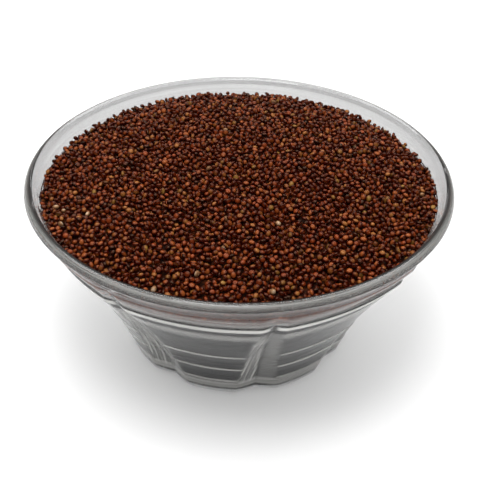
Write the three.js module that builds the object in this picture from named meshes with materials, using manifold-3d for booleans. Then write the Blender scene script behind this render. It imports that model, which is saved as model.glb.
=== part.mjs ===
// A clear pressed-glass bowl with a flared round rim and eight ridged lobes, heaped with red quinoa.
// Millimetres, +Z up. The foot stands on z = 0 and the bowl's axis is the Z axis.

import * as THREE from "three";
import { mergeVertices } from "three/addons/utils/BufferGeometryUtils.js";
import Module from "manifold-3d";

const { clamp, degToRad, euclideanModulo, lerp, smoothstep } = THREE.MathUtils;
const wasm = await Module();
wasm.setup();

// ---- The bowl's outside, as radius and height ----
const sole = { radius: 41.2, height: 0 };
const foot = { radius: 41.8, height: 1 };
const waist = { radius: 49.2, height: 25 }; // the wall's curve leans towards this point
const shoulder = { radius: 66.1, height: 48 };
const rim = { radius: 77, height: 66 };
const flarePower = 1.09; // how far the wall above the shoulder bows inwards
const bead = { halfWidth: 1.9, halfHeight: 2.4 }; // the rounded rim
const neck = { height: 62.5, depth: 0.3 }; // a shallow groove under the rim

// ---- Ridges round the outside: a slow rise up to an edge, then a short step back ----
const bodyRidges = { heights: [8, 16.6, 26.4], depth: 0.22 };
const shoulderRidges = { heights: [53.7, 60.2], depth: 0.25 };
const ridgeRise = 4;
const ridgeStep = 0.7;

// ---- Lobes, which meet in V-shaped creases ----
const lobeCount = 8;
const firstCrease = 280; // degrees round from +X
const lobePitch = 360 / lobeCount;
const creaseAtFoot = { depth: 3.1, halfWidth: 10.5, swell: 0.4 };
const creaseAtShoulder = { depth: 1.5, halfWidth: 3.5, swell: 1 };
const lobeFade = { from: 58, to: 63.5 }; // the heights between which the lobes run out under the rim

// ---- The basin, part of an ellipse turned round the axis, and the recess under the foot ----
const basin = { centreHeight: 126, halfHeight: 115, halfWidth: 85.3 };
const recess = { flatRadius: 36, wallRadius: 33.5, depth: 1.6, crown: 2 };
const basinSides = 64;

// ---- The quinoa ----
const gap = 0.4; // between the grain and the glass
const fillHeight = 63.1; // where the heap meets the wall
const domeRise = 9.2; // how far its middle stands above that
const domePower = 2.6; // 2 is an even dome, more is flatter on top
const reliefSpacing = 2.7;
const reliefHeight = 0.65;
const looseGrains = 52;
const grain = { radius: 1.05, halfThickness: 0.65, sides: 5, bands: 4, tilt: 0.6, sink: 0.2 };
const seed = 7;

// A repeatable stream of numbers from 0 to 1.
function randomStream(start) {
  let state = start;
  return () => {
    state = (state + 0x6d2b79f5) | 0;
    let mixed = Math.imul(state ^ (state >>> 15), 1 | state);
    mixed = (mixed + Math.imul(mixed ^ (mixed >>> 7), 61 | mixed)) ^ mixed;
    return ((mixed ^ (mixed >>> 14)) >>> 0) / 4294967296;
  };
}

// ---- Shapes of the outside ----

function wallRadius(height) {
  if (height <= foot.height) {
    return lerp(sole.radius, foot.radius, height / foot.height);
  }
  if (height <= shoulder.height) {
    const t = (height - foot.height) / (shoulder.height - foot.height);
    return (1 - t) ** 2 * foot.radius + 2 * t * (1 - t) * waist.radius + t ** 2 * shoulder.radius;
  }
  const t = (height - shoulder.height) / (rim.height - shoulder.height);
  const groove = neck.depth * Math.max(0, 1 - Math.abs(height - neck.height) / (rim.height - neck.height));
  return lerp(shoulder.radius, rim.radius, t ** flarePower) - groove;
}

function ridgeRelief(ridges, height) {
  let relief = 0;
  for (const edge of ridges.heights) {
    const reach = height <= edge ? (edge - height) / ridgeRise : (height - edge) / ridgeStep;
    relief += ridges.depth * Math.max(0, 1 - reach);
  }
  return relief;
}

// The outside's radius at an angle in degrees: the wall, its lobes, and the ridges on their faces.
function outsideRadius(angle, height) {
  const turn = euclideanModulo(angle - firstCrease, lobePitch);
  const fromCrease = Math.min(turn, lobePitch - turn);
  const rise = clamp(height / shoulder.height, 0, 1);
  const depth = lerp(creaseAtFoot.depth, creaseAtShoulder.depth, rise);
  const halfWidth = lerp(creaseAtFoot.halfWidth, creaseAtShoulder.halfWidth, rise);
  const swell = lerp(creaseAtFoot.swell, creaseAtShoulder.swell, rise);
  const crease = Math.max(0, 1 - fromCrease / halfWidth);
  const corner = (1 - fromCrease / (lobePitch / 2)) ** 2;
  const lobe = (swell * corner - depth * crease) * (1 - smoothstep(height, lobeFade.from, lobeFade.to));
  const onFace = smoothstep(fromCrease, halfWidth * 0.6, halfWidth * 1.2);
  const ridges = ridgeRelief(bodyRidges, height) * onFace + ridgeRelief(shoulderRidges, height);
  return wallRadius(height) + lobe + ridges;
}

function basinRadius(height) {
  return basin.halfWidth * Math.sqrt(1 - ((height - basin.centreHeight) / basin.halfHeight) ** 2);
}

// ---- Rings of points round the axis, joined into closed skins ----

// Each point of a ring keeps the angle that it is joined by.
function ringAt(angles, place) {
  return angles.map((angle) => {
    const { radius, height } = place(angle);
    const turn = degToRad(angle);
    return { angle, point: new THREE.Vector3(radius * Math.cos(turn), radius * Math.sin(turn), height) };
  });
}

function evenAngles(count) {
  return Array.from({ length: count }, (_, i) => (360 * i) / count);
}

// Angles closer together at the creases and at the corners beside them.
function lobeAngles() {
  const within = [0, 3.5, 7, 10.5, 16.5, 22.5, 28.5, 34.5, 38, 41.5];
  const angles = [];
  for (let lobe = 0; lobe < lobeCount; lobe++) {
    angles.push(...within.map((step) => euclideanModulo(firstCrease + lobe * lobePitch + step, 360)));
  }
  return angles.sort((a, b) => a - b);
}

// Joins rings from the lower middle, up the outside and back to the upper middle, into one closed skin.
function closedSkin(lowerMiddle, rings, upperMiddle) {
  const positions = [0, 0, lowerMiddle];
  const faces = [];
  const starts = [];
  for (const ring of rings) {
    starts.push(positions.length / 3);
    ring.forEach(({ point }) => positions.push(point.x, point.y, point.z));
  }
  const last = positions.length / 3;
  positions.push(0, 0, upperMiddle);

  const index = (ring, i) => starts[ring] + (i % rings[ring].length);
  const angleOf = (ring, i) => {
    const count = rings[ring].length;
    return rings[ring][i % count].angle + 360 * Math.floor(i / count);
  };
  rings[0].forEach((_, i) => faces.push(0, index(0, i + 1), index(0, i)));
  for (let ring = 0; ring + 1 < rings.length; ring++) {
    let a = 0;
    let b = 0;
    while (a < rings[ring].length || b < rings[ring + 1].length) {
      if (angleOf(ring, a + 1) <= angleOf(ring + 1, b + 1)) {
        faces.push(index(ring, a), index(ring, a + 1), index(ring + 1, b));
        a++;
      } else {
        faces.push(index(ring, a), index(ring + 1, b + 1), index(ring + 1, b));
        b++;
      }
    }
  }
  const top = rings.length - 1;
  rings[top].forEach((_, i) => faces.push(index(top, i), index(top, i + 1), last));

  const geometry = new THREE.BufferGeometry();
  geometry.setAttribute("position", new THREE.Float32BufferAttribute(positions, 3));
  geometry.setIndex(faces);
  return geometry;
}

// ---- The glass ----

function bowlRings() {
  const around = lobeAngles();
  const rings = [];
  const plain = (angles, radius, height) => rings.push(ringAt(angles, () => ({ radius, height })));

  plain(evenAngles(basinSides / 2), recess.wallRadius, recess.depth);
  plain(evenAngles(basinSides), recess.flatRadius, 0);

  const heights = [sole.height, foot.height, 32, 37, 42.5, shoulder.height, neck.height, rim.height];
  for (const edge of [...bodyRidges.heights, ...shoulderRidges.heights]) {
    heights.push(edge - ridgeRise, edge, edge + ridgeStep);
  }
  heights.sort((a, b) => a - b);
  for (const height of heights) {
    rings.push(ringAt(around, (angle) => ({ radius: outsideRadius(angle, height), height })));
  }

  for (const turn of [35, 70, 110, 145, 180].map(degToRad)) {
    const across = bead.halfWidth * (Math.cos(turn) - 1);
    plain(around, rim.radius + across, rim.height + bead.halfHeight * Math.sin(turn));
  }
  for (const height of [64, 59, 53, 47, 41, 35, 29, 23, 18, 14, 12]) {
    plain(evenAngles(basinSides), basinRadius(height), height);
  }
  return rings;
}

function glassBowl() {
  const floor = basin.centreHeight - basin.halfHeight;
  const glass = new THREE.MeshStandardMaterial({ color: 0xb9bfc0, roughness: 0.05, metalness: 0 });
  glass.transparent = true;
  glass.opacity = 0.45;
  const mesh = new THREE.Mesh(closedSkin(recess.crown, bowlRings(), floor), glass);
  mesh.name = "glass_bowl";
  return mesh;
}

// ---- The heap ----

function domeHeight(radius) {
  const edge = basinRadius(fillHeight) - gap;
  return fillHeight + domeRise * (1 - Math.min(1, radius / edge) ** domePower);
}

// A ring on the heap's hidden side, the gap in from the basin's wall.
function buriedRing(count, height) {
  const radius = basinRadius(height);
  const lean = new THREE.Vector2(
    radius / basin.halfWidth ** 2,
    (height - basin.centreHeight) / basin.halfHeight ** 2,
  ).normalize();
  const place = () => ({ radius: radius - gap * lean.x, height: height - gap * lean.y });
  return ringAt(evenAngles(count), place);
}

// The uneven top: rings of knobs as far apart as reliefSpacing, out to the wall.
function heapRings(random) {
  const rings = [
    buriedRing(18, 12),
    buriedRing(36, 18),
    buriedRing(54, 29),
    buriedRing(54, 41),
    buriedRing(81, 53),
  ];
  const uneven = (size) => size * (2 * random() - 1);
  const edge = basinRadius(fillHeight) - gap;
  const ringCount = Math.round(edge / reliefSpacing);
  for (let k = ringCount; k > 0; k--) {
    const step = edge / ringCount;
    rings.push(
      ringAt(evenAngles(6 * k), () => {
        if (k === ringCount) {
          const height = fillHeight + uneven(reliefHeight);
          return { radius: basinRadius(height) - gap, height };
        }
        const radius = step * k + uneven(step * 0.25);
        return { radius, height: domeHeight(radius) + uneven(reliefHeight) };
      }),
    );
  }
  return rings;
}

// A flat round seed with few sides, lying at a slant with its middle at the given point.
function seedGeometry(middle, random) {
  const geometry = new THREE.SphereGeometry(1, grain.sides, grain.bands);
  const size = grain.radius * (0.9 + 0.2 * random());
  geometry.rotateX(Math.PI / 2);
  geometry.scale(size, size, grain.halfThickness);
  geometry.rotateX(grain.tilt * (2 * random() - 1));
  geometry.rotateY(grain.tilt * (2 * random() - 1));
  geometry.rotateZ(2 * Math.PI * random());
  return geometry.translate(middle.x, middle.y, middle.z);
}

// The point of the heap's surface at this radius and turn.
function surfacePoint(heap, radius, turn) {
  const above = new THREE.Vector3(radius * Math.cos(turn), radius * Math.sin(turn), 2 * rim.height);
  const ray = new THREE.Raycaster(above, new THREE.Vector3(0, 0, -1));
  return ray.intersectObject(heap)[0].point;
}

function toManifold(geometry) {
  geometry.deleteAttribute("normal");
  geometry.deleteAttribute("uv");
  const merged = mergeVertices(geometry, 1e-4);
  return new wasm.Manifold(
    new wasm.Mesh({
      numProp: 3,
      vertProperties: Float32Array.from(merged.attributes.position.array),
      triVerts: Uint32Array.from(merged.index.array),
    }),
  );
}

function fromManifold(solid) {
  const { vertProperties, triVerts } = solid.getMesh();
  const geometry = new THREE.BufferGeometry();
  geometry.setAttribute("position", new THREE.Float32BufferAttribute(vertProperties, 3));
  geometry.setIndex(Array.from(triVerts));
  return geometry;
}

function quinoaHeap() {
  const random = randomStream(seed);
  const floor = basin.centreHeight - basin.halfHeight + gap;
  const core = closedSkin(floor, heapRings(random), domeHeight(0));
  const bare = new THREE.Mesh(core);
  let heap = toManifold(core);
  const goldenAngle = Math.PI * (3 - Math.sqrt(5));
  const reach = basinRadius(fillHeight) - gap - 3 * grain.radius;
  for (let i = 0; i < looseGrains; i++) {
    const radius = reach * Math.sqrt((i + random()) / looseGrains);
    const middle = surfacePoint(bare, radius, i * goldenAngle);
    middle.z += grain.sink;
    heap = heap.add(toManifold(seedGeometry(middle, random)));
  }
  const brown = new THREE.MeshStandardMaterial({ color: 0x5a2a14, roughness: 0.45, metalness: 0 });
  const mesh = new THREE.Mesh(fromManifold(heap), brown);
  mesh.name = "quinoa_heap";
  return mesh;
}

const dish = new THREE.Group();
dish.add(glassBowl(), quinoaHeap());

export default dish;
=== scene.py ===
"""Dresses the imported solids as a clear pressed-glass bowl heaped with red quinoa."""

import math

import bpy
import numpy as np
from bpy.props import FloatProperty, FloatVectorProperty, IntProperty, PointerProperty
from mathutils import Matrix, Vector


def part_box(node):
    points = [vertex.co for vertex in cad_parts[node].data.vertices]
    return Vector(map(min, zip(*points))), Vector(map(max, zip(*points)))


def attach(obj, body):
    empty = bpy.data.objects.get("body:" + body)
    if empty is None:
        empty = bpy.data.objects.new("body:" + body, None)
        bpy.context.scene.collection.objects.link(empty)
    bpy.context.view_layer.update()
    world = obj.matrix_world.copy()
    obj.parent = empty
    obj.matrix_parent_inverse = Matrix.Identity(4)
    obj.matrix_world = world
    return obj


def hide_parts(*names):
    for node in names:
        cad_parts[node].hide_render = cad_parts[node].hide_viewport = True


bl_info = {
    "name": "Glass bowl of red quinoa",
    "version": (1, 0, 0),
    "blender": (4, 5, 0),
    "location": "3D View > Sidebar > Quinoa",
    "description": "Makes a lobed pressed-glass bowl and its heap of loose quinoa seeds",
    "category": "Mesh",
}

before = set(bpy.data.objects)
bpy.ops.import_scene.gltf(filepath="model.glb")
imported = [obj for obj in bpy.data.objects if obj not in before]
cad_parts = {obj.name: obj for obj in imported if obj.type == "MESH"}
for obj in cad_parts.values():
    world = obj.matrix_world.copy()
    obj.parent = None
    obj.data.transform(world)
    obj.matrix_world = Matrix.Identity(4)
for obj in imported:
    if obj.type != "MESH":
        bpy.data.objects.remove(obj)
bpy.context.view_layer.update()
bowl_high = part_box("glass_bowl")[1]

MM = 0.001


# ---- Settings that a user would change ----


def length(name, description, default):
    """A length in metres."""
    return FloatProperty(
        name=name, description=description, default=default, unit="LENGTH", precision=5
    )


def share(name, description, default):
    """A number from 0 to 1."""
    return FloatProperty(name=name, description=description, default=default, min=0, max=1)


def strength(name, description, default):
    """A number of 0 or more."""
    return FloatProperty(name=name, description=description, default=default, min=0)


def paint(name, description, default):
    """A linear colour."""
    return FloatVectorProperty(
        name=name, description=description, default=default, size=3, subtype="COLOR", min=0, max=1
    )


class GlassSettings(bpy.types.PropertyGroup):
    """Sizes and colour of the bowl."""

    rim_radius: length("Rim radius", "Out to the widest point of the rim", bowl_high.x)
    rim_height: length("Rim height", "Height of the rim's widest point", 0.066)
    ridge_depth: length("Ridge depth", "How far the ridges on the lobes stand out", 0.00022)
    rib_height: length("Rib height", "Height of the fine rib along the lobes' top edge", 0.052)
    rib_width: length("Rib width", "Half the width of that rib", 0.0018)
    rib_stand: length("Rib stand", "How far that rib stands out", 0.0006)
    tint: paint("Tint", "Colour of the glass", (0.78, 0.78, 0.78))
    # The bead's darker tint is painted shade.
    bead_painted_shade: share("Bead tint", "How much of that tint the rim's bead keeps", 0.75)
    clearness: share("Clearness", "Share of light that the surface lets in", 0.98)
    roughness: share("Roughness", "How much the pressed surface blurs", 0.03)
    greyness: strength("Greyness", "Light lost on the way through", 140.0)


class GrainSettings(bpy.types.PropertyGroup):
    """Sizes of the seeds and the heap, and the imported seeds' colour."""

    radius: length("Seed radius", "Half the width of an average seed", 0.00112)
    thickness: strength("Thickness", "A seed's height over its width", 0.6)
    tilt: FloatProperty(
        name="Tilt", description="How far seeds lean from lying flat", default=1.2, subtype="ANGLE"
    )
    sides: IntProperty(name="Sides", description="Sides round a seed", default=8, min=5)
    fill_height: length("Fill height", "Where the heap meets the wall", 0.0631)
    dome_rise: length("Dome rise", "How far the heap's middle stands above that", 0.0086)
    layer: length("Layer", "Depth of loose seeds over the core", 0.0024)
    seed: IntProperty(name="Random seed", description="Start of the random draws", default=11)
    brown: paint("Brown", "Colour of the packed seeds under the loose ones", (0.155, 0.036, 0.010))


class StageSettings(bpy.types.PropertyGroup):
    """The floor, the light and the camera's distance."""

    floor: share("Floor", "How pale the floor is", 0.88)
    glow: strength("Floor glow", "Light that the floor gives off", 0.15)
    daylight: strength("Daylight", "Strength of the light from all round", 0.18)
    ring: strength("Ring light", "Strength of the soft ring overhead", 5.0)
    key: strength("Key light", "Power of the broad lamp overhead", 6.0)
    distance: length("Camera distance", "From the middle of the rim", 0.4)


# ---- Node trees ----


class Value:
    """A socket that takes part in Python arithmetic by adding Math nodes."""

    def __init__(self, tree, socket):
        self.tree = tree
        self.socket = socket

    def math(self, operation, *others):
        return self.tree.node("ShaderNodeMath", {"operation": operation}, self, *others)

    def __add__(self, other):
        return self.math("ADD", other)

    def __mul__(self, other):
        return self.math("MULTIPLY", other)

    def __sub__(self, other):
        return self.math("SUBTRACT", other)

    def __rsub__(self, other):
        return self.tree.node("ShaderNodeMath", {"operation": "SUBTRACT"}, other, self)

    def __abs__(self):
        return self.math("ABSOLUTE")

    def __lt__(self, other):
        return self.math("LESS_THAN", other)

    def __gt__(self, other):
        return self.math("GREATER_THAN", other)

    def at_least(self, low):
        return self.math("MAXIMUM", low)

    def at_most(self, high):
        return self.math("MINIMUM", high)


class Tree:
    """A node tree whose nodes all come from one method."""

    def __init__(self, tree):
        self.nodes = tree.nodes
        self.links = tree.links
        self.nodes.clear()

    def node(self, kind, settings=None, *values, output=0, **named):
        """Adds a node, sets it, fills its sockets by order or by name, and returns one output."""
        made = self.nodes.new(kind)
        for key, value in (settings or {}).items():
            if key == "stops":
                self.set_stops(made.color_ramp, value)
            else:
                setattr(made, key, value)
        for index, value in enumerate(values):
            self.fill(made.inputs[index], value)
        for key, value in named.items():
            self.fill(made.inputs[key.replace("_", " ")], value)
        return Value(self, made.outputs[output]) if made.outputs else made

    def set_stops(self, ramp, stops):
        """Gives a colour ramp its places and colours."""
        while len(ramp.elements) > 1:
            ramp.elements.remove(ramp.elements[-1])
        for index, (place, colour) in enumerate(stops):
            stop = ramp.elements[0] if index == 0 else ramp.elements.new(place)
            stop.position = place
            stop.color = (*colour, 1)

    def fill(self, socket, value):
        """Links a socket to another, or sets it. None leaves it as it is."""
        if isinstance(value, Value):
            self.links.new(value.socket, socket)
        elif value is not None:
            socket.default_value = value


class Shader(Tree):
    """The nodes of a material or of a world."""

    def __init__(self, owner):
        self.owner = owner
        owner.use_nodes = True
        super().__init__(owner.node_tree)

    def object_coordinates(self):
        return self.node("ShaderNodeTexCoord", output="Object")

    def part_of(self, vector, axis):
        return self.node("ShaderNodeSeparateXYZ", None, vector, output=axis)

    def attribute(self, name):
        return self.node("ShaderNodeAttribute", {"attribute_name": name}, output="Fac")

    def noise(self, vector, scale, detail):
        return self.node("ShaderNodeTexNoise", None, Vector=vector, Scale=scale, Detail=detail)

    def ramp(self, place, *stops):
        return self.node("ShaderNodeValToRGB", {"stops": stops}, place)

    def finish(self, surface, volume=None):
        self.node("ShaderNodeOutputMaterial", None, Surface=surface, Volume=volume)
        return self.owner


# ---- Materials, in metres ----

# Middle of the brown band painted on the upper wall: the grain as if seen through the glass.
PAINTED_GRAIN_BAND = 0.0614
# Between these heights the core is painted lighter beside the glass: painted light.
PAINTED_LIGHT_FROM = 0.050
PAINTED_LIGHT_TO = 0.0606
CELLS_PER_METRE = 520.0
MOTTLES_PER_METRE = 900.0


def painted_highlight_streaks(shader, place):
    """Painted highlight streaks that run round the wall, closer together up the wall than along it."""
    level = shader.node("ShaderNodeCombineXYZ", None, 0.0, 0.0, shader.attribute("profile") * 1.3)
    along = (26, 26, 0)
    stretched = shader.node("ShaderNodeVectorMath", {"operation": "MULTIPLY_ADD"}, place, along, level)
    return shader.noise(stretched, 1.0, 2.0) * 1.4 + 0.3


def painted_crease_light(shader, height):
    """Painted light streaks in slanted cuts on the face before each crease, and even painted light on
    the face after it.
    """
    side = shader.attribute("crease")
    slanted = shader.node("ShaderNodeCombineXYZ", None, side * 6.0 - height * 84.0, height * 30.0, 0.0)
    cuts = (abs(shader.noise(slanted, 1.0, 1.0) - 0.5) * 6.0).at_most(1.0)
    return (cuts * 1.3 + 0.2) * (side < 0.0) + (side > 0.0) * 0.45


def painted_light_colour(shader, height):
    """Colour of the painted light: pale for painted highlights, but brown on the upper wall, a painted
    view of the grain through the glass.
    """
    painted_grain_view = 2.2 - abs(height - PAINTED_GRAIN_BAND) * 700.0
    return shader.ramp(painted_grain_view, (0.0, (0.88, 0.87, 0.83)), (0.6, (0.12, 0.040, 0.026)))


def glass_material(glass):
    """Clear, slightly grey glass, with painted highlights on its moulded edges, painted light streaks
    in its creases, painted shade on the rim's bead and painted brown of the grain seen through the
    upper wall.
    """
    shader = Shader(bpy.data.materials.new("clear_pressed_glass"))
    # The rim's bead keeps less of the tint: painted shade, darker glass on the bead.
    painted_bead_shade = 1 - shader.attribute("bead") * (1 - glass.bead_painted_shade)
    surface = shader.node(
        "ShaderNodeBsdfPrincipled",
        None,
        Base_Color=shader.node("ShaderNodeCombineColor", None, *(painted_bead_shade * tint for tint in glass.tint)),
        Roughness=glass.roughness,
        IOR=1.5,
        Transmission_Weight=glass.clearness,
        Specular_Tint=(0.75, 0.75, 0.75, 1),
    )
    place = shader.object_coordinates()
    height = shader.part_of(place, "Z")
    # A pale matt surface mixed in where light is painted: painted highlights, and painted brown of the
    # grain on the upper wall.
    painted_light_surface = shader.node(
        "ShaderNodeBsdfPrincipled", None, Base_Color=painted_light_colour(shader, height), Roughness=0.3
    )
    # Painted highlights on the moulded edges, and painted light streaks on the crease faces.
    edges = shader.attribute("edge") * painted_highlight_streaks(shader, place)
    creases = shader.attribute("groove") * painted_crease_light(shader, height)
    painted_light_share = (edges + creases).at_most(0.95)
    dressed = shader.node("ShaderNodeMixShader", None, painted_light_share, surface, painted_light_surface)
    grey = (0.5, 0.5, 0.5, 1)
    inside = shader.node("ShaderNodeVolumeAbsorption", None, Color=grey, Density=glass.greyness)
    return shader.finish(dressed, inside)


def seed_material(name, dark, light, roughness):
    """Each seed takes its own tone between two colours, redder and darker round its rim: partly the
    seed's own ring, partly painted shade at its edges.
    """
    shader = Shader(bpy.data.materials.new(name))
    mottle = shader.noise(shader.object_coordinates(), MOTTLES_PER_METRE, 2.0)
    own = shader.attribute("tone") * 0.5 + mottle * 0.4 + 0.28
    # Darker and redder towards the rim: partly the seed's own ring, partly painted shade.
    shade = own - shader.attribute("rim") * 1.3
    redder = (light[0] * 0.5, light[1] * 0.36, light[2] * 0.25)
    surface = shader.node(
        "ShaderNodeBsdfPrincipled",
        None,
        Base_Color=shader.ramp(shade, (0.0, dark), (0.5, redder), (1.0, light)),
        Roughness=roughness,
        Specular_IOR_Level=0.36,
        Specular_Tint=(1.0, 0.57, 0.35, 1),
    )
    return shader.finish(surface)


def core_material(brown):
    """Packed seeds: cells of their size with painted shade between them, and painted light where they
    lie against the glass near the top.
    """
    # Painted shade for the gaps between seeds, and a painted lit colour for seeds against the glass.
    painted_shade_between_seeds = (0.012, 0.003, 0.001)
    painted_light_brown = (0.60, 0.18, 0.06)
    shader = Shader(bpy.data.materials.new("packed_seeds"))
    place = shader.object_coordinates()
    height = shader.part_of(place, "Z")
    upper = ((height - PAINTED_LIGHT_FROM) * 120.0).at_least(0.0).at_most(1.0)
    painted_light_beside_glass = upper * (height < PAINTED_LIGHT_TO)
    cells = {"Vector": place, "Scale": CELLS_PER_METRE}
    cell_colour = shader.node("ShaderNodeTexVoronoi", None, output="Color", **cells)
    tone = shader.node("ShaderNodeSeparateColor", None, cell_colour)
    edge = shader.node("ShaderNodeTexVoronoi", {"feature": "DISTANCE_TO_EDGE"}, **cells)
    # Each cell is darkened towards its edges: painted shade between the seeds.
    shade = tone * (edge * 2.5).at_most(1.0)
    colour = shader.ramp(
        shade * 0.5 + painted_light_beside_glass * 0.5, (0.0, painted_shade_between_seeds), (0.5, brown), (1.0, painted_light_brown)
    )
    surface = shader.node(
        "ShaderNodeBsdfPrincipled", None, Base_Color=colour, Roughness=0.6, Specular_IOR_Level=0.05
    )
    return shader.finish(surface)


def floor_material(stage):
    """Pale and matt, with a little light of its own."""
    shader = Shader(bpy.data.materials.new("pale_floor"))
    level = shader.noise(shader.object_coordinates(), 3.0, 2.0) * 0.01 + (stage.floor - 0.005)
    surface = shader.node(
        "ShaderNodeBsdfPrincipled",
        None,
        Base_Color=shader.node("ShaderNodeCombineColor", None, level, level, level),
        Roughness=0.7,
        Emission_Color=(1, 1, 1, 1),
        Emission_Strength=stage.glow,
    )
    return shader.finish(surface)


def soft_ring_world(stage):
    """Even light from all round, with a brighter soft ring overhead, weaker towards the front."""
    shader = Shader(bpy.data.worlds.new("daylight"))
    way = shader.node("ShaderNodeTexCoord", output="Generated")
    black, white = (0, 0, 0), (1, 1, 1)
    ring_stops = ((0.0, black), (0.66, black), (0.72, white), (0.84, white), (0.90, black))
    ring_light = shader.ramp(shader.part_of(way, "Z"), *ring_stops)
    backward = (shader.part_of(way, "Y") * 0.7 + 0.7).at_least(0.3).at_most(1.0)
    level = ring_light * backward * stage.ring + stage.daylight
    sky = shader.node("ShaderNodeBackground", None, (1, 1, 1, 1), level)
    shader.node("ShaderNodeOutputWorld", None, sky)
    return shader.owner


# ---- The bowl's shape, in millimetres and degrees ----

LOBES = 8
LOBE_PITCH = 360 / LOBES
FIRST_CREASE = 280

UNDERSIDE = ((12, 2), (26, 1.9), (33.5, 1.6), (34.8, 0.8), (36, 0), (38, 0))
UNDERSIDE_MIDDLE = 2
FOOT_TOP = 1
FOOT_FLAT = 41.2
FOOT_ROUND = 0.6

BODY_TOP = 48
BODY_RADII = (41.8, 49.2, 66.1)
FLARE_BEND = 1.09
NECK_HEIGHT = 62.5
NECK_DEPTH = 0.3

CREASE_HALF_WIDTH = (10.5, 3.5)
CREASE_DEPTH = (3.1, 1.5)
LOBE_SWELL = (0.4, 1.0)
LOBES_FADE = (58, 63.5)
BODY_RIDGES = (8, 16.6, 26.4)
FLARE_RIDGES = (53.7, 60.2)
FLARE_RIDGE_DEPTH = 0.25

BEAD_HALF_WIDTH = 1.9
BEAD_RISE = 2.4
# Heights over which the bead's painted shade fades in.
BEAD_PAINTED_SHADE_FADE = (62.5, 64.5)
# The bead's painted highlight streak: strength, then where it is and how wide, in radians round the
# bead.
BEAD_PAINTED_STREAK = (0.25, 0.85, 0.50)

BASIN_RADIUS = 85.3
BASIN_MIDDLE = 126
BASIN_DEPTH = 115
BASIN_FLOOR = BASIN_MIDDLE - BASIN_DEPTH

# Painted light along the moulded edges, pale highlights that turn to painted brown of the grain near
# the top of the wall: height, half height and strength.
PAINTED_LINES_ALL_ROUND = (
    (5.0, 3.2, 0.30),
    (55.4, 2.0, 0.16),
    (58.6, 0.7, 0.3),
    (61.4, 3.0, 0.22),
    (65.6, 0.7, 0.22),
)
PAINTED_LINES_ON_LOBES = (*((ridge, 0.8, 0.36) for ridge in BODY_RIDGES), (44.6, 2.8, 0.22))
RIB_PAINTED_HIGHLIGHT = 0.6
CREASE_PAINTED_LIGHT = 0.3


def smoothstep(value, start, end):
    t = np.clip((value - start) / (end - start), 0, 1)
    return t * t * (3 - 2 * t)


def between(ends, share_of_way):
    return ends[0] + (ends[1] - ends[0]) * share_of_way


def wall_radius(height, rim_radius, rim_height):
    """The outside without its lobes: foot, curved body, then the flare up to the rim."""
    low, middle, high = BODY_RADII
    t = (height - FOOT_TOP) / (BODY_TOP - FOOT_TOP)
    body = (1 - t) ** 2 * low + 2 * t * (1 - t) * middle + t**2 * high
    u = np.clip((height - BODY_TOP) / (rim_height - BODY_TOP), 0, 1)
    neck = NECK_DEPTH * np.clip(1 - np.abs(height - NECK_HEIGHT) / (rim_height - NECK_HEIGHT), 0, 1)
    flare = high + (rim_radius - high) * u**FLARE_BEND - neck
    under = 1 - np.clip(height, 0, FOOT_TOP)
    foot = FOOT_FLAT + FOOT_ROUND * np.sqrt(np.clip(1 - under**2, 0, 1))
    return np.where(height <= FOOT_TOP, foot, np.where(height <= BODY_TOP, body, flare))


def ridges(height, edges, depth):
    """Slow rises up to an edge, then a short step back."""
    rise, step_back = 4, 0.7
    relief = np.zeros_like(height)
    for edge in edges:
        reach = np.where(height <= edge, (edge - height) / rise, (height - edge) / step_back)
        relief += depth * np.clip(1 - reach, 0, 1)
    return relief


def crease_offset(angle):
    """Degrees from the nearest crease, negative before it."""
    return np.mod(angle - FIRST_CREASE + LOBE_PITCH / 2, LOBE_PITCH) - LOBE_PITCH / 2


def crease_half_width(height):
    """Degrees from a crease's bottom to its edge. It narrows upwards."""
    return between(CREASE_HALF_WIDTH, np.clip(height / BODY_TOP, 0, 1))


def rib(from_crease, height, glass):
    """A low bead along the top of the lobes, broken at each crease."""
    across = (height - glass.rib_height / MM) / (glass.rib_width / MM)
    whole = smoothstep(from_crease, 0.6, 1.8)
    return glass.rib_stand / MM * np.sqrt(np.clip(1 - across**2, 0, 1)) * whole


def outside_radius(angle, height, glass):
    """The wall with its lobes, creases and ridges."""
    from_crease = np.abs(crease_offset(angle))
    half_width = crease_half_width(height)
    rise = np.clip(height / BODY_TOP, 0, 1)
    crease = between(CREASE_DEPTH, rise) * np.clip(1 - from_crease / half_width, 0, 1)
    swell = between(LOBE_SWELL, rise) * (1 - from_crease / (LOBE_PITCH / 2)) ** 2
    lobe = (swell - crease) * (1 - smoothstep(height, *LOBES_FADE))
    on_lobe = smoothstep(from_crease, half_width * 0.6, half_width * 1.2)
    body = ridges(height, BODY_RIDGES, glass.ridge_depth / MM) * on_lobe
    upper = ridges(height, FLARE_RIDGES, FLARE_RIDGE_DEPTH) + rib(from_crease, height, glass)
    return wall_radius(height, glass.rim_radius / MM, glass.rim_height / MM) + lobe + body + upper


def painted_edge_light(angle, height, glass):
    """How strong the painted highlights along the moulded edges are: the rib most, then the lines,
    ridges and foot.
    """
    from_crease = np.abs(crease_offset(angle))
    half_width = crease_half_width(height)

    def line(middle, half, most):
        return most * smoothstep(-np.abs(height - middle), -half, -0.5 * half)

    painted_light = line(glass.rib_height / MM, glass.rib_width / MM, RIB_PAINTED_HIGHLIGHT)
    painted_light = painted_light * smoothstep(from_crease, 0.4, 1.4)
    for mark in PAINTED_LINES_ALL_ROUND:
        painted_light = np.maximum(painted_light, line(*mark))
    on_lobe = smoothstep(from_crease, half_width * 0.8, half_width * 1.1)
    for mark in PAINTED_LINES_ON_LOBES:
        painted_light = np.maximum(painted_light, line(*mark) * on_lobe)
    return painted_light


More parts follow.
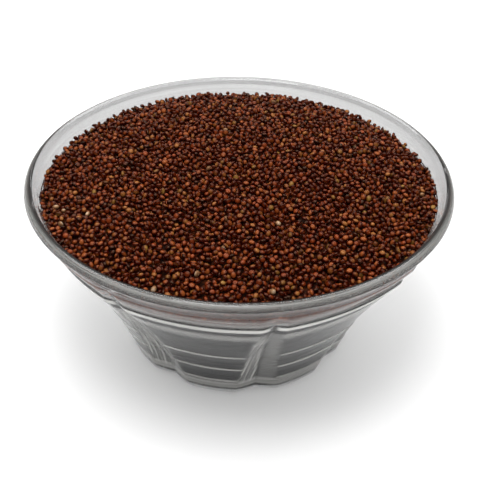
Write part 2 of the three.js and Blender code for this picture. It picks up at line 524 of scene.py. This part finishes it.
def painted_crease_streaks(angle, height):
    """How strong the painted light streaks on the two faces of each crease are."""
    inside = 1 - np.abs(crease_offset(angle)) / crease_half_width(height)
    on_faces = smoothstep(inside, 0, 0.15) * (1 - smoothstep(inside, 0.86, 1.0))
    return CREASE_PAINTED_LIGHT * on_faces * smoothstep(height, 4, 9) * (1 - smoothstep(height, 45, 49))


def basin_radius(height):
    """The smooth inside, part of an egg-shaped hollow."""
    return BASIN_RADIUS * np.sqrt(np.clip(1 - ((height - BASIN_MIDDLE) / BASIN_DEPTH) ** 2, 0, 1))


def lobe_angles():
    """Forty angles to a lobe, closer together beside the creases."""
    t = np.arange(40) / 40
    within = LOBE_PITCH * (t - 0.55 * np.sin(2 * np.pi * t) / (2 * np.pi))
    return np.concatenate([FIRST_CREASE + lobe * LOBE_PITCH + within for lobe in range(LOBES)])


def wall_heights(glass):
    """Even steps up the wall, with more where a ridge, a line or the rib begins or ends."""
    heights = set(np.round(np.arange(0, glass.rim_height / MM, 0.55), 3))
    heights |= {0.15, 0.4, 0.7, 58.2, 58.6, 59.0, 65.2, 65.6}
    for edge in (*BODY_RIDGES, *FLARE_RIDGES):
        heights |= {round(edge + step, 3) for step in (-0.6, -0.3, 0, 0.2, 0.45, 0.7)}
    for turn in np.radians(np.linspace(-90, 90, 11)):
        heights.add(round((glass.rib_height + glass.rib_width * math.sin(turn)) / MM, 3))
    return sorted(heights)


def lathe_mesh(name, rings, low_middle, high_middle):
    """Closes rings of equal counts, from the lower middle round the outside to the upper middle."""
    count = len(rings[0])
    points = np.vstack([[(0, 0, low_middle)], *rings, [(0, 0, high_middle)]]) * MM
    here = np.arange(count)
    there = (here + 1) % count
    faces = [(0, 1 + int(b), 1 + int(a)) for a, b in zip(here, there)]
    for index in range(len(rings) - 1):
        a = 1 + index * count + here
        b = 1 + index * count + there
        faces += np.stack([a, b, b + count, a + count], axis=1).tolist()
    last = 1 + (len(rings) - 1) * count
    faces += [(last + int(a), last + int(b), len(points) - 1) for a, b in zip(here, there)]
    mesh = bpy.data.meshes.new(name)
    mesh.from_pydata(points.tolist(), [], faces)
    mesh.validate()
    mesh.shade_smooth()
    return mesh


def ring(angles, radius, height):
    turn = np.radians(angles)
    radius = np.broadcast_to(radius, turn.shape)
    height = np.broadcast_to(height, turn.shape)
    return np.stack([radius * np.cos(turn), radius * np.sin(turn), height], axis=1)


def bowl_mesh(glass):
    """The underside, up the wall, over the rim's bead and down the basin."""
    angles = lobe_angles()
    rim_radius = glass.rim_radius / MM
    rim_height = glass.rim_height / MM
    rings = []
    marks = {"edge": [], "groove": [], "crease": [], "profile": [], "bead": []}

    def add(radius, height, **given):
        """A ring of points, with the values that the glass's material reads there."""
        rings.append(ring(angles, radius, height))
        given["crease"] = crease_offset(angles) / crease_half_width(height)
        if len(rings) > 1:
            given["profile"] = marks["profile"][-1][0] + math.dist(rings[-1][0], rings[-2][0])
        for name, values in marks.items():
            values.append(np.broadcast_to(given.get(name, 0.0), angles.shape))

    for radius, height in UNDERSIDE:
        add(radius, height)
    for height in wall_heights(glass):
        at = np.full(len(angles), float(height))
        # Marks that the material reads: painted highlights on the edges, painted light streaks in the
        # creases, and painted shade on the bead.
        edge = painted_edge_light(angles, at, glass)
        groove = painted_crease_streaks(angles, at)
        bead = float(smoothstep(height, *BEAD_PAINTED_SHADE_FADE))
        add(outside_radius(angles, at, glass), height, edge=edge, groove=groove, bead=bead)
    # Over the rim's bead: a painted highlight streak, and the bead's painted shade.
    streak, streak_turn, streak_spread = BEAD_PAINTED_STREAK
    for turn in np.radians(np.linspace(0, 180, 25)):
        radius = rim_radius - BEAD_HALF_WIDTH + BEAD_HALF_WIDTH * math.cos(turn)
        painted_light = streak * math.exp(-(((turn - streak_turn) / streak_spread) ** 2))
        add(radius, rim_height + BEAD_RISE * math.sin(turn), edge=painted_light, bead=1.0)
    for height in [*np.arange(65.2, 20, -0.9), *np.arange(19.5, 12, -0.75), 11.7, 11.4, 11.2, 11.05]:
        add(float(basin_radius(height)), height)

    mesh = lathe_mesh("pressed_glass_bowl", rings, UNDERSIDE_MIDDLE, BASIN_FLOOR)
    for name, values in marks.items():
        mark = mesh.attributes.new(name, "FLOAT", "POINT")
        mark.data.foreach_set("value", [0.0, *np.concatenate(values), 0.0])
    return mesh


# ---- The heap, in millimetres ----

DOME_BEND = 2.6

BUMPS_ROUND = 328
BURIED_RINGS = 76
UPPER_RINGS = 58
CORE_BELOW_FILL = 0.9

RASTER_WIDTH = 152
RASTER_CELL = 0.15
TRIES = 60000
DROP_RADIUS = 70.6
ROLL = 1.3
UNEVENNESS = 0.22
SEED_TOP = 0.55
ROOM_ABOVE = 0.25
PACKING = 0.88
SMALLEST_SEED = (0.74, 0.68, 0.8)
LARGEST_SEED = (1.26, 1.18, 1.2)

# Each kind of seed: its name, its share, its darkest and palest colours, and its roughness.
SEED_KINDS = (
    ("russet_seeds", 0.36, (0.027, 0.0007, 0.0002), (0.265, 0.050, 0.012), 0.24),
    ("chestnut_seeds", 0.36, (0.035, 0.0009, 0.0002), (0.33, 0.088, 0.022), 0.24),
    ("amber_seeds", 0.16, (0.039, 0.0020, 0.0003), (0.345, 0.138, 0.036), 0.26),
    ("dark_seeds", 0.09, (0.008, 0.0004, 0.0002), (0.090, 0.013, 0.004), 0.24),
    ("olive_seeds", 0.025, (0.036, 0.006, 0.001), (0.33, 0.19, 0.045), 0.28),
    ("pale_seeds", 0.005, (0.15, 0.07, 0.03), (0.58, 0.45, 0.32), 0.45),
)


def dome_height(radius, grain):
    """The heap's top: nearly level in the middle, steeper towards the wall."""
    edge = float(basin_radius(grain.fill_height / MM))
    share_of_way = np.clip(radius / edge, 0, 1)
    return grain.fill_height / MM + grain.dome_rise / MM * (1 - share_of_way**DOME_BEND)


def buried_inset(tips, height, random):
    """How far short of the wall the core is. Its tips reach just into the glass, more so high up."""
    near_top = float(smoothstep(height, 53, 58))
    hollow = 0.45 - 0.50 * near_top + 0.15 * random.random(len(tips))
    return np.where(tips, -0.03 - 0.32 * near_top, hollow)


def core_mesh(grain, random):
    """A body of bumps as far apart as the seeds."""
    angles = np.arange(BUMPS_ROUND) * 360 / BUMPS_ROUND
    edge = grain.fill_height / MM - CORE_BELOW_FILL

    def tips_of(index):
        return (np.arange(BUMPS_ROUND) + index) % 2 == 0

    rings = []
    for index, step in enumerate(np.linspace(0.04, 1, BURIED_RINGS)):
        height = BASIN_FLOOR + (edge - BASIN_FLOOR) * step**1.8
        inset = buried_inset(tips_of(index), height, random)
        radius = float(basin_radius(height))
        outward = np.array([radius / BASIN_RADIUS**2, (height - BASIN_MIDDLE) / BASIN_DEPTH**2])
        outward /= np.linalg.norm(outward)
        rings.append(ring(angles, radius - inset * outward[0], height - inset * outward[1]))
    for index, radius in enumerate(np.linspace(float(basin_radius(edge)) - 1.2, 1.5, UPPER_RINGS)):
        rise = np.where(tips_of(index), 0.35, -0.25) * min(1.0, radius / 20)
        rings.append(ring(angles, radius, dome_height(radius, grain) - grain.layer / MM + rise))
    middle = dome_height(0.0, grain) - grain.layer / MM
    return lathe_mesh("packed_seed_core", rings, BASIN_FLOOR + 0.1, middle)


def pile_of_seeds(grain, random):
    """Drops seeds one by one. Each rolls to the lowest pocket near and stays if the dome has room."""
    size = int(RASTER_WIDTH / RASTER_CELL)
    axis = (np.arange(size) - size / 2) * RASTER_CELL
    x, y = np.meshgrid(axis, axis, indexing="ij")
    reach = PACKING * grain.radius / MM
    top = dome_height(np.hypot(x, y), grain)
    rest = top - grain.layer / MM + reach * 0.6
    wall = float(basin_radius(grain.fill_height / MM))
    rest[np.hypot(x, y) > wall - 0.5 * reach] = 1e3

    span = int(2 * reach / RASTER_CELL) + 1
    around = np.arange(-span, span + 1) * RASTER_CELL
    apart = around[:, None] ** 2 + around[None, :] ** 2
    hump = np.sqrt(np.clip((2 * reach) ** 2 - apart, 0, None))
    hump[apart >= (2 * reach) ** 2] = -1e3
    roll = int(ROLL / RASTER_CELL)
    margin = span + roll + 1
    uneven = random.normal(0, UNEVENNESS, TRIES)

    placed = []
    for attempt in range(TRIES):
        radius = DROP_RADIUS * math.sqrt(random.random())
        turn = 2 * math.pi * random.random()
        i = int(radius * math.cos(turn) / RASTER_CELL + size / 2)
        j = int(radius * math.sin(turn) / RASTER_CELL + size / 2)
        i = min(max(i, margin), size - margin - 1)
        j = min(max(j, margin), size - margin - 1)
        window = rest[i - roll : i + roll + 1, j - roll : j + roll + 1]
        low = np.unravel_index(np.argmin(window), window.shape)
        i += int(low[0]) - roll
        j += int(low[1]) - roll
        height = rest[i, j]
        if height + SEED_TOP > top[i, j] + ROOM_ABOVE + uneven[attempt]:
            continue
        placed.append((axis[i], axis[j], height))
        patch = rest[i - span : i + span + 1, j - span : j + span + 1]
        np.maximum(patch, height + hump, out=patch)
    points = np.array(placed)
    points[:, :2] += random.uniform(-RASTER_CELL / 2, RASTER_CELL / 2, (len(points), 2))
    return points * MM


def seed_tree():
    """Puts a lens-shaped seed on every point, each with its own size, lean and tone."""
    group = bpy.data.node_groups.new("scatter_seeds", "GeometryNodeTree")
    inputs = (
        ("Points", "Geometry"),
        ("Radius", "Float"),
        ("Thickness", "Float"),
        ("Tilt", "Float"),
        ("Sides", "Int"),
        ("Seed", "Int"),
        ("Material", "Material"),
    )
    for name, kind in inputs:
        group.interface.new_socket(name, in_out="INPUT", socket_type="NodeSocket" + kind)
    group.interface.new_socket("Seeds", in_out="OUTPUT", socket_type="NodeSocketGeometry")
    tree = Tree(group)

    def given(name):
        return tree.node("NodeGroupInput", output=name)

    def marked(geometry, name, value, domain):
        """Stores a number that the seeds' material reads."""
        settings = {"data_type": "FLOAT", "domain": domain}
        return tree.node(
            "GeometryNodeStoreNamedAttribute", settings, Geometry=geometry, Name=name, Value=value
        )

    def random_vector(low, high, stream):
        settings = {"data_type": "FLOAT_VECTOR"}
        return tree.node("FunctionNodeRandomValue", settings, low, high, Seed=given("Seed") + stream)

    def random_number(low, high, stream):
        settings = {"data_type": "FLOAT"}
        seed_socket = given("Seed") + stream
        return tree.node(
            "FunctionNodeRandomValue", settings, None, None, low, high, Seed=seed_socket, output=1
        )

    def multiply(first, second):
        return tree.node("ShaderNodeVectorMath", {"operation": "MULTIPLY"}, first, second)

    spot = tree.node("GeometryNodeInputPosition")
    height = tree.node("ShaderNodeSeparateXYZ", None, spot, output="Z")
    flatter = tree.node("ShaderNodeCombineXYZ", None, 1.0, 1.0, given("Thickness"))
    lens = tree.node(
        "ShaderNodeVectorMath", {"operation": "SCALE"}, multiply(spot, flatter), Scale=given("Radius")
    )
    seed = tree.node("GeometryNodeMeshUVSphere", None, Segments=given("Sides"), Rings=5, Radius=1)
    # Rim: 1 round a seed's edge, 0 at its faces; the material darkens the seed there, partly as
    # painted shade.
    seed = marked(seed, "rim", 1 - abs(height), "POINT")
    seed = tree.node("GeometryNodeSetPosition", None, Geometry=seed, Position=lens)
    seed = tree.node("GeometryNodeSetShadeSmooth", None, Geometry=seed)

    most = tree.node("ShaderNodeCombineXYZ", None, given("Tilt"), given("Tilt"), math.pi)
    placed = tree.node(
        "GeometryNodeInstanceOnPoints",
        None,
        Points=given("Points"),
        Instance=seed,
        Rotation=multiply(random_vector((-1, -1, -1), (1, 1, 1), 0), most),
        Scale=random_vector(SMALLEST_SEED, LARGEST_SEED, 1),
    )
    placed = marked(placed, "tone", random_number(0.0, 1.0, 2), "INSTANCE")
    real = tree.node("GeometryNodeRealizeInstances", None, placed)
    dressed = tree.node("GeometryNodeSetMaterial", None, Geometry=real, Material=given("Material"))
    tree.node("NodeGroupOutput", None, dressed)
    return group


def shown(name, mesh):
    """A new object in the scene."""
    piece = bpy.data.objects.new(name, mesh)
    bpy.context.scene.collection.objects.link(piece)
    return piece


def scatter(name, points, grain, tree, material, seed):
    """One piece of loose seeds, as a plain mesh."""
    cloud = bpy.data.meshes.new(name + "_points")
    cloud.from_pydata(points.tolist(), [], [])
    holder = shown(name + "_holder", cloud)
    modifier = holder.modifiers.new("scatter", "NODES")
    modifier.node_group = tree
    values = {
        "Radius": grain.radius,
        "Thickness": grain.thickness,
        "Tilt": grain.tilt,
        "Sides": grain.sides,
        "Seed": seed,
        "Material": material,
    }
    for item in tree.interface.items_tree:
        if item.in_out == "INPUT" and item.name in values:
            modifier[item.identifier] = values[item.name]
    graph = bpy.context.evaluated_depsgraph_get()
    mesh = bpy.data.meshes.new_from_object(holder.evaluated_get(graph))
    mesh.name = name
    bpy.data.objects.remove(holder)
    return shown(name, mesh)


# ---- Operators ----


class QUINOA_OT_glass_bowl(bpy.types.Operator):
    """Makes the lobed pressed-glass bowl"""

    bl_idname = "quinoa.glass_bowl"
    bl_label = "Glass bowl"

    def execute(self, context):
        glass = context.scene.quinoa_glass
        bowl = shown("pressed_glass_bowl", bowl_mesh(glass))
        bowl.data.materials.append(glass_material(glass))
        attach(bowl, "root")
        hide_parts("glass_bowl")
        return {"FINISHED"}


class QUINOA_OT_seed_core(bpy.types.Operator):
    """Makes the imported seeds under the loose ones"""

    bl_idname = "quinoa.seed_core"
    bl_label = "Seed core"

    def execute(self, context):
        grain = context.scene.quinoa_grain
        random = np.random.default_rng(grain.seed)
        core = shown("packed_seed_core", core_mesh(grain, random))
        core.data.materials.append(core_material(tuple(grain.brown)))
        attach(core, "root")
        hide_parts("quinoa_heap")
        return {"FINISHED"}


class QUINOA_OT_loose_seeds(bpy.types.Operator):
    """Piles the loose seeds on the core, one piece for each kind"""

    bl_idname = "quinoa.loose_seeds"
    bl_label = "Loose seeds"

    def execute(self, context):
        grain = context.scene.quinoa_grain
        random = np.random.default_rng(grain.seed + 1)
        points = pile_of_seeds(grain, random)
        order = random.permutation(len(points))
        tree = seed_tree()
        start = 0
        for index, (name, share_of_seeds, dark, light, roughness) in enumerate(SEED_KINDS):
            is_last = index == len(SEED_KINDS) - 1
            end = len(points) if is_last else start + round(share_of_seeds * len(points))
            material = seed_material(name + "_skin", dark, light, roughness)
            own_points = points[order[start:end]]
            seeds = scatter(name, own_points, grain, tree, material, grain.seed + 10 * index)
            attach(seeds, "root")
            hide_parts("quinoa_heap")
            start = end
        return {"FINISHED"}


class QUINOA_OT_studio(bpy.types.Operator):
    """Makes the floor, the soft light and the camera"""

    bl_idname = "quinoa.studio"
    bl_label = "Studio"

    def execute(self, context):
        stage = context.scene.quinoa_stage
        self.add_floor(stage)
        self.add_light(context.scene, stage)
        self.add_camera(context.scene, stage)
        return {"FINISHED"}

    def add_floor(self, stage):
        half = 2.5
        mesh = bpy.data.meshes.new("floor")
        corners = [(-half, -half, 0), (half, -half, 0), (half, half, 0), (-half, half, 0)]
        mesh.from_pydata(corners, [], [(0, 1, 2, 3)])
        floor = shown("floor", mesh)
        floor.data.materials.append(floor_material(stage))

    def add_light(self, scene, stage):
        """The world and one broad lamp overhead, a little in front and aimed at the bowl."""
        scene.world = soft_ring_world(stage)
        scene.view_settings.view_transform = "Standard"
        light = bpy.data.lights.new("key", "AREA")
        light.energy = stage.key
        light.size = 0.5
        lamp = bpy.data.objects.new("key", light)
        lamp.location = (-0.10, -0.26, 1.10)
        aim = Vector((0, 0, 0.04)) - lamp.location
        lamp.rotation_euler = aim.to_track_quat("-Z", "Y").to_euler()
        scene.collection.objects.link(lamp)

    def add_camera(self, scene, stage):
        """Looks down on the rim from the front, tipped and rolled a little."""
        rise, tip, yaw, roll = (math.radians(v) for v in (32.30, 3.18, 0.10, 1.0))
        rim_level = 0.066
        focal_length_in_widths = 1104.2 / 480
        sensor = 36

        place = Vector((0, -math.cos(rise), math.sin(rise))) * stage.distance
        place.z += rim_level
        down = rise + tip
        ahead = Vector(
            (math.sin(yaw) * math.cos(down), math.cos(yaw) * math.cos(down), -math.sin(down))
        )
        right = ahead.cross(Vector((0, 0, 1))).normalized()
        up = right.cross(ahead)
        right, up = (
            right * math.cos(roll) + up * math.sin(roll),
            up * math.cos(roll) - right * math.sin(roll),
        )
        turn = Matrix((right, up, -ahead)).transposed().to_4x4()
        turn.translation = place
        lens = bpy.data.cameras.new("camera")
        lens.sensor_width = sensor
        lens.lens = focal_length_in_widths * sensor
        lens.clip_start = 0.01
        camera = bpy.data.objects.new("camera", lens)
        camera.matrix_world = turn
        scene.collection.objects.link(camera)
        scene.camera = camera


OPERATORS = (QUINOA_OT_glass_bowl, QUINOA_OT_seed_core, QUINOA_OT_loose_seeds, QUINOA_OT_studio)


class VIEW3D_PT_quinoa(bpy.types.Panel):
    """Lists the pieces of the bowl of quinoa"""

    bl_label = "Glass bowl of quinoa"
    bl_space_type = "VIEW_3D"
    bl_region_type = "UI"
    bl_category = "Quinoa"

    def draw(self, context):
        for operator in OPERATORS:
            self.layout.operator(operator.bl_idname)


SETTINGS = (GlassSettings, GrainSettings, StageSettings)
CLASSES = (*SETTINGS, *OPERATORS, VIEW3D_PT_quinoa)


def register():
    for kind in CLASSES:
        bpy.utils.register_class(kind)
    bpy.types.Scene.quinoa_glass = PointerProperty(type=GlassSettings)
    bpy.types.Scene.quinoa_grain = PointerProperty(type=GrainSettings)
    bpy.types.Scene.quinoa_stage = PointerProperty(type=StageSettings)


def unregister():
    del bpy.types.Scene.quinoa_stage
    del bpy.types.Scene.quinoa_grain
    del bpy.types.Scene.quinoa_glass
    for kind in reversed(CLASSES):
        bpy.utils.unregister_class(kind)


def main():
    register()
    bpy.ops.quinoa.glass_bowl()
    bpy.ops.quinoa.seed_core()
    bpy.ops.quinoa.loose_seeds()
    bpy.ops.quinoa.studio()


if __name__ == "__main__":
    main()
